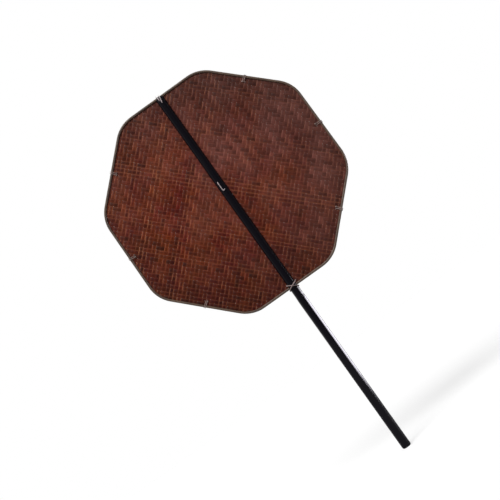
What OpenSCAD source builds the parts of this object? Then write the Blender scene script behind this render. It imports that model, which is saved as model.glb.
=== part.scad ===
// Octagonal woven fan on a slit stick, in millimetres.
// The stick stands along +Z with its butt end at the origin, and the blade's front faces -Y.

/* [Blade] */
// Width of the blade across two opposite flats, over the rim
blade_across = 250; // [200:1:300]
// Outer radius of the blade's rounded corners
corner_r = 36; // [20:1:45]
// Spacing of the strips that rise to the right
warp_pitch = 4.45; // [3:0.05:6]
// Spacing of the strips that rise to the left
weft_pitch = 4.2; // [3:0.05:6]
// Side gap between two neighbouring strips
strip_gap = 0.1; // [0.1:0.05:0.5]
// Thickness of one strip
strip_t = 0.45; // [0.3:0.05:0.7]
// Space between the two layers of strips
layer_clear = 0.05; // [0.02:0.01:0.1]

/* [Rim] */
// Width of a rim splint, seen from the front
rim_w = 2.4; // [1.8:0.1:3.2]
// Thickness of a rim splint at its crown
rim_t = 1.5; // [1:0.1:2]
// Height of the crown above the splint's edges
rim_crown = 0.5; // [0.2:0.1:0.8]
// How far the strips' ends stop short of the rim's outer edge
mat_inset = 0.4; // [0.2:0.1:1]
// Gap where the two ends of a bent splint meet, inside the stick
splint_gap = 0.3; // [0.1:0.1:1]

/* [Stick] */
// Diameter of the round stick
stick_d = 10; // [9:0.5:14]
// Length of the stick below the blade
grip_l = 200; // [120:1:260]
// How much the stick is pared down all round where it holds the blade
pare = 0.25; // [0.1:0.05:0.5]
// Length of the slope from the full diameter to the pared one, just below the slit
pare_l = 6; // [3:0.5:15]
// How far the slit runs on below the blade
slit_run = 10; // [4:1:30]
// Space between the mat and each wall of the slit
slit_clear = 0.05; // [0.02:0.01:0.15]
// Space between the rim and each wall of its seats in the stick
seat_clear = 0.15; // [0.05:0.05:0.4]
// Rounding of the butt end
butt_round = 2; // [0.5:0.5:3.5]
// Rounding of the tip
tip_round = 3; // [1:0.5:3.5]

/* [Thread] */
// Diameter of the thread
thread_d = 1.2; // [0.8:0.1:1.4]
// Space between a thread and what it is tied round, and round it in its hole
thread_clear = 0.15; // [0.1:0.05:0.25]
// Diameter of the knot at a thread's end
knot_d = 2.3; // [2:0.1:2.8]
// Space between two turns of thread
turn_gap = 0.6; // [0.5:0.1:0.8]
// Distance between the first and the last turn where they pass over the tip
tip_spread = 3.4; // [3:0.1:4]
// Distance of each turn's hole to the left of the one before it
tip_shift = 1.1; // [0.9:0.1:1.4]
// How much of their distance below the blade's top edge the last hole stands above the first
tip_step = 0.4; // [0.35:0.01:0.45]
// Turns over the tip
tip_turns = 2; // [2:1:3]
// Distance of the first hole for the turns over the tip below the blade's top edge
tip_drop = 8.5; // [7:0.5:14]
// Diameter of the rim ties' thinner thread
tie_d = 0.7; // [0.6:0.1:1]
// Diameter of the knot at its end
tie_knot_d = 1.6; // [1.4:0.1:2]
// Turns of each rim tie
tie_turns = 2; // [1:1:3]
// Distance of a rim tie's holes from the rim's outer edge
tie_inset = 6.8; // [4.6:0.1:8]
// Height of the middle stitch's upper hole above the blade's centre
stitch_top = 11; // [9:0.5:40]
// Distance between the middle stitch's two holes along the stick
stitch_l = 10; // [7:0.5:20]
// Distance of its upper hole to the left of the stick's axis
stitch_left = 1.4; // [1.2:0.1:3]
// Distance of its lower hole to the right of the stick's axis
stitch_right = 0.6; // [0.4:0.1:2.5]
// How far the stitch hangs below its lower hole
stitch_sag = 0.9; // [0.5:0.1:3]
// Space between the rim and the lower lashing's upper holes
lash_up = 2; // [0.4:0.1:4]
// Space between the rim and the lower lashing where it passes below it
lash_down = 1; // [0.4:0.1:3]

/* [Hidden] */

$fn = 96;
stick_colour = "#18141c";
warp_colour = "#55301f";
weft_colour = "#4a2a22";
rim_colour = "#75664f";
thread_colour = "#b8afb4";

// Blade
apothem = blade_across / 2;
blade_z = grip_l + apothem;
mat_across = blade_across - 2 * mat_inset;
mat_t = 2 * strip_t + layer_clear;

// Rim
rim_half = mat_t / 2 + rim_t;
rim_edge = rim_half - rim_crown;
crown_r = (rim_w * rim_w / 4 + rim_crown * rim_crown) / (2 * rim_crown);
crown_half = asin(rim_w / 2 / crown_r);

// Stick
stick_l = grip_l + blade_across;
stick_r = stick_d / 2;
head_r = stick_r - pare;
slit_z = grip_l - slit_run;
slit_w = mat_t + 2 * slit_clear;
seat_t = 2 * (rim_half + seat_clear);

// Thread
thread_r = thread_d / 2;
knot_r = knot_d / 2;
stand_off = thread_r + thread_clear;
knot_off = knot_r + thread_clear;
hole_d = 2 * stand_off;
turn_pitch = thread_d + turn_gap;
tie_r = tie_d / 2;
tie_knot_r = tie_knot_d / 2;
tie_off = tie_r + thread_clear;
tie_hole_d = 2 * tie_off;
tie_pitch = tie_d + turn_gap;
tie_knot_pitch = tie_pitch + tie_knot_r - tie_r;
cut_end = 1.2 * thread_d;
tie_cut_end = 1.2 * tie_d;
knot_tail = 2 * knot_d;
tube_sides = 6;
bend_steps = 4;
bend_share = 0.48; // Most of a run that the bend at either end of it may take up
knot_rings = 6;

// Distance from the plane of the blade to the middle of a thread that lies on the stick at x
function on_stick(x, off = stand_off) = sqrt(pow(head_r + off, 2) - x * x);

// Turns over the tip: where each one's hole is across the stick and its level, where it passes
// over the tip, and where the knot is across the stick
function tip_x(turn) = -turn * tip_shift;
function tip_z(turn) = stick_l - tip_drop * (1 - tip_step * turn / (tip_turns - 1));
function tip_over(turn) = tip_spread * (1 / 2 - turn / (tip_turns - 1));
tip_knot_x = tip_x(tip_turns - 1) - thread_d - turn_gap - thread_clear;

// Middle stitch
stitch_z = blade_z + stitch_top;
stitch_low_z = stitch_z - stitch_l;

// Lower lashing: the radius and the level at which each half turn round the stick begins and ends,
// from the left round the front to the right, and on, and how far each one stands higher midway
lash_r = head_r + stand_off;
lash_knot_r = head_r + knot_off;
lash_low = grip_l - thread_r - lash_down;
lash_high = grip_l + rim_w + thread_r + lash_up;
lash_steps = 12;

// Rim ties: the side that each one is on, as the angle of that side's outward direction, the share
// of the step to the next turn that is made on a crown, and how far in from the rim's outer edge
// the thread stands highest
tie_angles = [0, 45, 135, 180, 225, 315];
tie_lean = 0.3;
tie_crest = 0.6 * rim_w;
tie_in = apothem - tie_inset;
function tie_across(turn) = (turn - tie_turns / 2) * tie_pitch;
function on_side(angle, across, out) =
    [out * cos(angle) - across * sin(angle), out * sin(angle) + across * cos(angle)];

// Thread holes as points of the blade's plane, x and height above the blade's centre
stick_holes = concat([for (i = [0 : tip_turns - 1]) [tip_x(i), tip_z(i) - blade_z]],
    [[-stitch_left, stitch_top], [stitch_right, stitch_top - stitch_l]]);
lash_stops = [[lash_r, lash_high], [lash_r, lash_low], [lash_r, lash_low],
    [lash_knot_r, lash_high]];
lash_lift = [0, 0, turn_pitch];
lash_holes = [[-lash_r, lash_high - blade_z], [lash_knot_r, lash_high - blade_z]];
tie_holes = [for (angle = tie_angles, i = [0 : tie_turns - 1])
    on_side(angle, tie_across(i), tie_in)];

// A regular octagon with rounded corners, flats up, down and to the sides
module octagon(across, r) {
    inner = across / 2 - r;
    polygon([for (k = [0 : 7], turn = [0, 1])
        let (corner = inner / cos(22.5) * [cos(45 * k + 22.5), sin(45 * k + 22.5)])
        corner + r * [cos(45 * (k + turn)), sin(45 * (k + turn))]]);
    for (k = [0 : 7])
        rotate(45 * k + 22.5) translate([inner / cos(22.5), 0]) circle(r);
}

// A closed skin over rings of points, each ring anticlockwise seen from the last one
module sweep(rings) {
    n = len(rings[0]);
    end = (len(rings) - 1) * n;
    walls = [for (a = [0 : n : end - 1], k = [0 : n - 1])
        let (j = (k + 1) % n)
        each [[a + k, a + n + k, a + n + j], [a + k, a + n + j, a + j]]];
    caps = [for (k = [1 : n - 2]) each [[0, k, k + 1], [end, end + k + 1, end + k]]];
    polyhedron([for (ring = rings) each ring], concat(walls, caps));
}

// Stands a flat shape up in the blade's plane, its back face at y
module in_blade(y) {
    translate([0, y, blade_z]) rotate([90, 0, 0]) children();
}

// One layer of side-by-side strips, trimmed to the octagon and pierced for the threads
module strips(pitch, turn) {
    count = round(mat_across / pitch);
    linear_extrude(strip_t) difference() {
        intersection() {
            octagon(mat_across, corner_r - mat_inset);
            rotate(turn) for (i = [0 : count - 1])
                translate([(i - count / 2) * pitch + strip_gap / 2, -apothem])
                    square([pitch - strip_gap, blade_across]);
        }
        for (hole = concat(stick_holes, lash_holes))
            translate(hole) circle(d = hole_d, $fn = 32);
        for (hole = tie_holes)
            translate(hole) circle(d = tie_hole_d, $fn = 32);
    }
}

module warp_strips() {
    color(warp_colour) in_blade(-layer_clear / 2) strips(warp_pitch, -45);
}

module weft_strips() {
    color(weft_colour) in_blade(mat_t / 2) strips(weft_pitch, 45);
}

// Half-round section of a splint as points: inwards from its outer edge, and up from its flat face
crown_steps = 4;
splint_section = concat([[-rim_w, 0]],
    [for (i = [0 : crown_steps])
        let (w = crown_half * (1 - 2 * i / crown_steps))
        [-rim_w / 2 - crown_r * sin(w), rim_t - crown_r + crown_r * cos(w)]],
    [[0, 0]]);

// The splint's corners in turn, from the bottom anticlockwise: each has its centre and the outward
// directions that the splint turns through
corner_steps = 6;
function corner_centre(k) = (apothem - corner_r) / cos(22.5) * [cos(45 * k - 67.5), sin(45 * k - 67.5)];
function outward(w) = [cos(w), sin(w)];

// A splint bent round the octagon, its two ends meeting at the bottom
module hoop() {
    n = len(splint_section);
    rings = concat(
        [[for (s = splint_section) [splint_gap / 2, -apothem - s[0], s[1]]]],
        [for (k = [0 : 7], j = [0 : corner_steps])
            [for (s = splint_section)
                let (p = corner_centre(k)
                    + (corner_r + s[0]) * outward(-90 + 45 * (k + j / corner_steps)))
                [p[0], p[1], s[1]]]],
        [[for (s = splint_section) [-splint_gap / 2, -apothem - s[0], s[1]]]]);
    sweep(rings);
}

module front_rim_splint() {
    color(rim_colour) in_blade(-mat_t / 2) hoop();
}

module back_rim_splint() {
    color(rim_colour) mirror([0, 1, 0]) in_blade(-mat_t / 2) hoop();
}

// Half of the stick's lengthwise section
module stick_section() {
    intersection() {
        square([stick_r, stick_l]);
        union() {
            polygon([[0, 0], [stick_r - butt_round, 0], [stick_r, butt_round],
                [stick_r, slit_z - pare_l], [head_r, slit_z], [head_r, stick_l - tip_round],
                [head_r - tip_round, stick_l], [0, stick_l]]);
            translate([stick_r - butt_round, butt_round]) circle(butt_round);
            translate([head_r - tip_round, stick_l - tip_round]) circle(tip_round);
        }
    }
}

// A seat for the rim, cut right across the stick with its lower wall at z
module rim_seat(z) {
    translate([-stick_d, -seat_t / 2, z]) cube([2 * stick_d, seat_t, rim_w + 2 * seat_clear]);
}

module handle_stick() {
    color(stick_colour) difference() {
        rotate_extrude() stick_section();
        translate([-stick_d, -slit_w / 2, slit_z])
            cube([2 * stick_d, slit_w, blade_across + 2 * slit_run]);
        rim_seat(grip_l - seat_clear);
        rim_seat(stick_l - rim_w - seat_clear);
        for (hole = stick_holes)
            translate([hole[0], stick_d, blade_z + hole[1]]) rotate([90, 0, 0])
                cylinder(h = 2 * stick_d, d = hole_d, $fn = 32);
    }
}

// Points along a bend of radius r at corner b, on the way from a to c
function bend(a, b, c, r) =
    let (u = unit(a - b), v = unit(c - b),
        half = acos(max(-1, min(1, u * v))) / 2,
        reach = min(r / tan(half), bend_share * norm(a - b), bend_share * norm(c - b)),
        centre = b + unit(u + v) * reach / cos(half),
        from = b + u * reach - centre,
        to = b + v * reach - centre,
        sweep = 180 - 2 * half)
    [for (i = [0 : bend_steps]) centre + (from * sin(sweep * (1 - i / bend_steps))
        + to * sin(sweep * i / bend_steps)) / sin(sweep)];
function unit(v) = v / norm(v);
function spot(p) = [p[0], p[1], p[2]];

// A route of straight runs with rounded corners, each corner [x, y, z, bend radius], as points
// [x, y, z, radius of the thread]
function thread_route(q, r = thread_r) =
    let (last = len(q) - 1,
        points = concat([spot(q[0])],
            [for (i = [1 : last - 1])
                each bend(spot(q[i - 1]), spot(q[i]), spot(q[i + 1]), q[i][3])],
            [spot(q[last])]))
    [for (p = points) [p[0], p[1], p[2], r]];

// The same route with a knot on its last stretch
function knotted(route, knot = knot_d) =
    let (last = len(route) - 1, end = spot(route[last]), way = unit(end - spot(route[last - 1])),
        r = route[last][3], half = knot / 2)
    concat([for (i = [0 : last - 1]) route[i]],
        [for (i = [0 : knot_rings])
            let (left = knot * (1 - i / knot_rings), p = end - way * left,
                swell = sqrt(max(0, half * half - (left - half) * (left - half))))
            [p[0], p[1], p[2], max(swell, left > half ? r : r / 2)]]);

// Directions along a route, and a side direction carried along it without twist
function heading(p, i) = unit(spot(p[min(i + 1, len(p) - 1)]) - spot(p[max(i - 1, 0)]));
function square_to(v, t) = unit(v - (v * t) * t);
function sides(p) =
    let (t = heading(p, 0), first = square_to(abs(t[2]) < 0.9 ? [0, 0, 1] : [1, 0, 0], t))
    [for (i = 0, s = first; i < len(p);
        i = i + 1, s = i < len(p) ? square_to(s, heading(p, i)) : s) s];

// One unbroken tube along a route
module thread(p) {
    side = sides(p);
    color(thread_colour) sweep([for (i = [0 : len(p) - 1])
        let (other = cross(heading(p, i), side[i]))
        [for (k = [0 : tube_sides - 1]) let (w = 360 * k / tube_sides)
            spot(p[i]) + p[i][3] * (cos(w) * side[i] + sin(w) * other)]]);
}

// Measures the least space between stretches of one thread that aren't neighbours
measure_step = 0.8;
neighbour_l = 3.2 * thread_d;
function finer(p) = concat([for (i = [0 : len(p) - 2])
    let (n = ceil(norm(spot(p[i + 1]) - spot(p[i])) / measure_step))
    for (k = [0 : n - 1]) p[i] + (p[i + 1] - p[i]) * k / n], [p[len(p) - 1]]);
function lengths(p) = [for (i = 0, s = 0; i < len(p);
    i = i + 1, s = s + (i < len(p) ? norm(spot(p[i]) - spot(p[i - 1])) : 0)) s];
function least_gap(route) =
    let (p = finer(route), s = lengths(p))
    min([for (i = [0 : len(p) - 2], j = [i + 1 : len(p) - 1]) if (s[j] - s[i] > neighbour_l)
        norm(spot(p[i]) - spot(p[j])) - p[i][3] - p[j][3]]);

// Up the front of the stick, over its tip with the rim, down the back and through the next hole
function top_route() =
    let (over = tip_round + stand_off, top_z = stick_l + stand_off + thread_clear)
    thread_route(concat(
        [[tip_x(0), on_stick(tip_x(0)) + cut_end, tip_z(0)]],
        [for (i = [0 : tip_turns - 1])
            let (last = i == tip_turns - 1, x = tip_x(i), top_x = tip_over(i),
                next = last ? tip_knot_x : tip_x(i + 1))
            each [[x, -on_stick(x), tip_z(i), stand_off], [top_x, -on_stick(top_x), top_z, over],
                [next, on_stick(next), top_z, over],
                if (!last) [next, on_stick(next), tip_z(i + 1), stand_off]]],
        [[tip_knot_x, on_stick(tip_knot_x, knot_off), tip_z(0) - knot_tail]]));

// Out of the upper hole, straight down the front, with a slack hook into the lower hole, and back up
function stitch_route() =
    let (left_y = on_stick(stitch_left), right_y = on_stick(stitch_right),
        low_x = (stitch_right - stitch_left) / 2)
    thread_route([
        [-stitch_left, left_y + cut_end, stitch_z],
        [-stitch_left, -left_y, stitch_z, stand_off],
        [-stitch_left, -left_y, stitch_low_z, thread_d],
        [low_x, -on_stick(low_x, stand_off + thread_clear), stitch_low_z - stitch_sag, thread_d],
        [stitch_right, -right_y, stitch_low_z, stand_off],
        [stitch_right, right_y, stitch_low_z, stand_off],
        [0, on_stick(0, knot_off), stitch_z - knot_tail]]);

// Down across the front, round the back below the rim, and up across the front over the first
// half turn, with the knot behind the mat
function lash_point(half_turn, part) =
    let (ease = (1 - cos(180 * part)) / 2, w = 180 * (1 - half_turn - part),
        s = lash_stops[half_turn] * (1 - ease) + lash_stops[half_turn + 1] * ease,
        r = s[0] + lash_lift[half_turn] * pow(sin(180 * part), 2))
    [r * cos(w), -r * sin(w), s[1]];
function lash_route() =
    let (turns = len(lash_stops) - 1, start = lash_point(0, 0), end = lash_point(turns - 1, 1),
        points = concat([start + [0, mat_t / 2 + cut_end, 0]],
            [for (i = [0 : turns - 1], k = [0 : lash_steps - 1]) lash_point(i, k / lash_steps)],
            [end, end + [0, mat_t / 2 + thread_clear + knot_d, 0]]))
    [for (p = points) [p[0], p[1], p[2], thread_r]];

// Through the mat, round the rim and back in, once a turn, with the knot on the front
function tie_route(angle) =
    let (crown = [apothem - tie_crest, rim_half + tie_off + thread_clear / 2],
        edge = [apothem + tie_off, rim_edge + tie_off], flat_y = mat_t / 2 + tie_off,
        stops = concat(
            [[tie_across(0), tie_in, -mat_t / 2 - tie_cut_end, 0]],
            [for (i = [0 : tie_turns - 1])
                let (a = tie_across(i), b = i < tie_turns - 1 ? tie_across(i + 1)
                    : a + tie_knot_pitch)
                each [
                    [a, tie_in, flat_y, tie_off],
                    [a, crown[0], crown[1], tie_off],
                    [a + (b - a) * tie_lean, edge[0], edge[1], tie_off],
                    [(a + b) / 2, edge[0], -edge[1], tie_off],
                    [b - (b - a) * tie_lean, crown[0], -crown[1], tie_off],
                    if (i < tie_turns - 1) [b, tie_in, -flat_y, tie_off]]],
            [[tie_across(tie_turns - 1) + tie_knot_pitch, tie_in - tie_knot_r,
                -mat_t / 2 - tie_knot_r - thread_clear, 0]]))
    thread_route([for (s = stops) let (p = on_side(angle, s[0], s[1]))
        [p[0], s[2], blade_z + p[1], s[3]]], tie_r);

module top_lashing() {
    thread(knotted(top_route()));
}

module middle_stitch() {
    thread(knotted(stitch_route()));
}

module lower_lashing() {
    thread(knotted(lash_route()));
}

module rim_tie(place) {
    thread(knotted(tie_route(tie_angles[place]), tie_knot_d));
}

handle_stick();
warp_strips();
weft_strips();
front_rim_splint();
back_rim_splint();
top_lashing();
middle_stitch();
lower_lashing();
rim_tie(0);  // rim_tie_right
rim_tie(1);  // rim_tie_upper_right
rim_tie(2);  // rim_tie_upper_left
rim_tie(3);  // rim_tie_left
rim_tie(4);  // rim_tie_lower_left
rim_tie(5);  // rim_tie_lower_right

echo(least_gap_mm = [least_gap(knotted(top_route())), least_gap(knotted(stitch_route())),
    least_gap(knotted(lash_route())), least_gap(knotted(tie_route(0), tie_knot_d))]);
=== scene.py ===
"""Octagonal woven hand fan: the looks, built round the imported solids, in metres.

The stick stands along +Z with its butt end at the origin, and the blade's front faces -Y.
"""

import logging
import math
import random
from dataclasses import dataclass, field
from enum import Enum
from typing import Callable, List, Optional, Sequence, Tuple

import bpy
from mathutils import Matrix, Vector


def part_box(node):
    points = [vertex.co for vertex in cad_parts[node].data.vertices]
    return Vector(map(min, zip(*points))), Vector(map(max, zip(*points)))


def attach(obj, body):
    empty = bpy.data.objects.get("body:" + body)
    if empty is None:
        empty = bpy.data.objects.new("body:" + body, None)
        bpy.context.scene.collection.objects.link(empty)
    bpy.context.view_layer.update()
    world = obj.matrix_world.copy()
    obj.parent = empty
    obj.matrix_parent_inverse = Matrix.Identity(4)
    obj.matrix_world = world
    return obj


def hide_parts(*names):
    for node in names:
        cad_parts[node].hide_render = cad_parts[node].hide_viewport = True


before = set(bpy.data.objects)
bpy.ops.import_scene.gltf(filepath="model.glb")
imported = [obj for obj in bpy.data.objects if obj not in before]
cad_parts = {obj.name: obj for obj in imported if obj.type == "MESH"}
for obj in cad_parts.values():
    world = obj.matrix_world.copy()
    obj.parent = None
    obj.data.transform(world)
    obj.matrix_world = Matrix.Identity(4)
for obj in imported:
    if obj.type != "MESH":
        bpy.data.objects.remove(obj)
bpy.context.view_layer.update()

MM = 0.001
SIDES = 8
SIDE_ANGLE = 360 / SIDES
LOG = logging.getLogger("woven_fan")

# A point nearer than this to a place counts as being in it
HAIR = 0.001 * MM

# The range that most of a noise lies in
MOST = (0.3, 0.7)

Colour = Tuple[float, float, float]
Tones = Tuple[float, float]
Route = List[Vector]
Test = Callable[[Vector], bool]


class Side(Enum):
    """The two faces of the blade, as the sign of Y that each one looks to."""

    FRONT = -1
    BACK = 1


class Lean(Enum):
    """The two sets of strips, as the angle that each one leans from the stick, seen from the front."""

    RISING_RIGHT = 45
    RISING_LEFT = -45


# Hand tools: selecting, edit mode and finishing


def deselect() -> None:
    """Leaves nothing selected and nothing in edit mode."""
    if bpy.context.object is not None and bpy.context.object.mode != "OBJECT":
        bpy.ops.object.mode_set(mode="OBJECT")
    bpy.ops.object.select_all(action="DESELECT")


def pick(*pieces: bpy.types.Object) -> None:
    """Selects these pieces alone, and makes the first one active.

    Args:
        pieces: the pieces, at least one.
    """
    deselect()
    for piece in pieces:
        piece.select_set(True)
    bpy.context.view_layer.objects.active = pieces[0]


def name_active(name: str) -> bpy.types.Object:
    """Names the newly added primitive and its mesh.

    Args:
        name: the piece's name.

    Returns:
        The piece.
    """
    piece = bpy.context.object
    piece.name = name
    piece.data.name = name
    return piece


def edit(piece: bpy.types.Object, everything: bool = True) -> None:
    """Opens a piece in edit mode, with all or nothing of it selected.

    Args:
        piece: the piece to open.
        everything: whether all of it is selected.
    """
    pick(piece)
    bpy.ops.object.mode_set(mode="EDIT")
    bpy.ops.mesh.select_mode(type="VERT")
    bpy.ops.mesh.select_all(action="SELECT" if everything else "DESELECT")


def edit_where(piece: bpy.types.Object, test: Test) -> None:
    """Opens a piece in edit mode with only the points selected that pass a test.

    Args:
        piece: the piece to open.
        test: says of a point's place whether it is selected.
    """
    edit(piece, everything=False)
    bpy.ops.object.mode_set(mode="OBJECT")
    for vertex in piece.data.vertices:
        vertex.select = test(vertex.co)
    bpy.ops.object.mode_set(mode="EDIT")


def leave() -> None:
    """Goes back to object mode."""
    bpy.ops.object.mode_set(mode="OBJECT")


def pull(x: float = 0.0, y: float = 0.0, z: float = 0.0) -> None:
    """Extrudes what is selected along a vector."""
    bpy.ops.mesh.extrude_region_move(TRANSFORM_OT_translate={"value": (x, y, z)})


def settle(piece: bpy.types.Object) -> None:
    """Puts a piece's place, turn and scale into its mesh."""
    pick(piece)
    bpy.ops.object.transform_apply(location=True, rotation=True, scale=True)


def close_and_face_out(piece: bpy.types.Object) -> None:
    """Merges doubled points, closes open ends and turns every face outwards.

    Args:
        piece: the piece to close.
    """
    edit(piece)
    bpy.ops.mesh.remove_doubles(threshold=HAIR)
    bpy.ops.mesh.select_all(action="DESELECT")
    bpy.ops.mesh.select_non_manifold(use_wire=False, use_multi_face=False, use_non_contiguous=False,
                                     use_verts=False)
    bpy.ops.mesh.fill_holes(sides=0)
    bpy.ops.mesh.select_all(action="SELECT")
    bpy.ops.mesh.normals_make_consistent(inside=False)
    leave()


def smooth(piece: bpy.types.Object, degrees: float) -> None:
    """Shades a piece smooth but for edges sharper than an angle."""
    pick(piece)
    bpy.ops.object.shade_smooth_by_angle(angle=math.radians(degrees))


def own_copy(piece: bpy.types.Object, name: str) -> bpy.types.Object:
    """Copies a piece with its own mesh.

    Args:
        piece: what is copied.
        name: the copy's name.

    Returns:
        The copy.
    """
    twin = piece.copy()
    twin.data = piece.data.copy()
    twin.name = name
    twin.data.name = name
    bpy.context.scene.collection.objects.link(twin)
    return twin


def join(pieces: Sequence[bpy.types.Object], name: str) -> bpy.types.Object:
    """Joins several pieces into one.

    Args:
        pieces: what is joined, at least one.
        name: the joined piece's name.

    Returns:
        The joined piece.
    """
    pick(*pieces)
    bpy.ops.object.join()
    return name_active(name)


def discard(*pieces: bpy.types.Object) -> None:
    """Deletes master copies and cutters."""
    for piece in pieces:
        bpy.data.objects.remove(piece, do_unlink=True)


def apply_modifier(piece: bpy.types.Object, kind: str, **settings: object) -> None:
    """Adds a modifier to a piece and applies it.

    Args:
        piece: the piece.
        kind: the modifier's type.
        settings: the modifier's own settings.
    """
    pick(piece)
    modifier = piece.modifiers.new(kind.title(), kind)
    for key, value in settings.items():
        setattr(modifier, key, value)
    bpy.ops.object.modifier_apply(modifier=modifier.name)


# Sizes


@dataclass(frozen=True)
class FanSizes:
    """The fan's main sizes. What the solids show is read from them, and the rest is as they were drawn."""

    apothem: float
    blade_z: float
    stick_l: float
    stick_r: float
    corner_r: float = 36 * MM
    warp_pitch: float = 4.45 * MM
    weft_pitch: float = 4.2 * MM
    strip_gap: float = 0.1 * MM
    strip_t: float = 0.45 * MM
    layer_clear: float = 0.05 * MM
    mat_inset: float = 0.4 * MM
    rim_w: float = 2.4 * MM
    rim_t: float = 1.5 * MM
    pare: float = 0.25 * MM
    pare_l: float = 6 * MM
    slit_run: float = 10 * MM

    @classmethod
    def from_solids(cls) -> "FanSizes":
        """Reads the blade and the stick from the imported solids.

        Returns:
            The sizes.
        """
        rim_low, rim_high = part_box("front_rim_splint")
        stick_low, stick_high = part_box("handle_stick")
        return cls(
            apothem=(rim_high.x - rim_low.x) / 2,
            blade_z=(rim_high.z + rim_low.z) / 2,
            stick_l=stick_high.z - stick_low.z,
            stick_r=(stick_high.x - stick_low.x) / 2,
        )

    @property
    def mat_t(self) -> float:
        """Thickness of the mat."""
        return 2 * self.strip_t + self.layer_clear

    @property
    def mat_across(self) -> float:
        """Width of the mat across its flats."""
        return 2 * (self.apothem - self.mat_inset)

    @property
    def grip_l(self) -> float:
        """Length of the stick below the blade."""
        return self.blade_z - self.apothem

    @property
    def head_r(self) -> float:
        """Radius of the stick where it holds the blade."""
        return self.stick_r - self.pare

    @property
    def centre(self) -> Vector:
        """The blade's centre."""
        return Vector((0, 0, self.blade_z))


# Finishes


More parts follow.
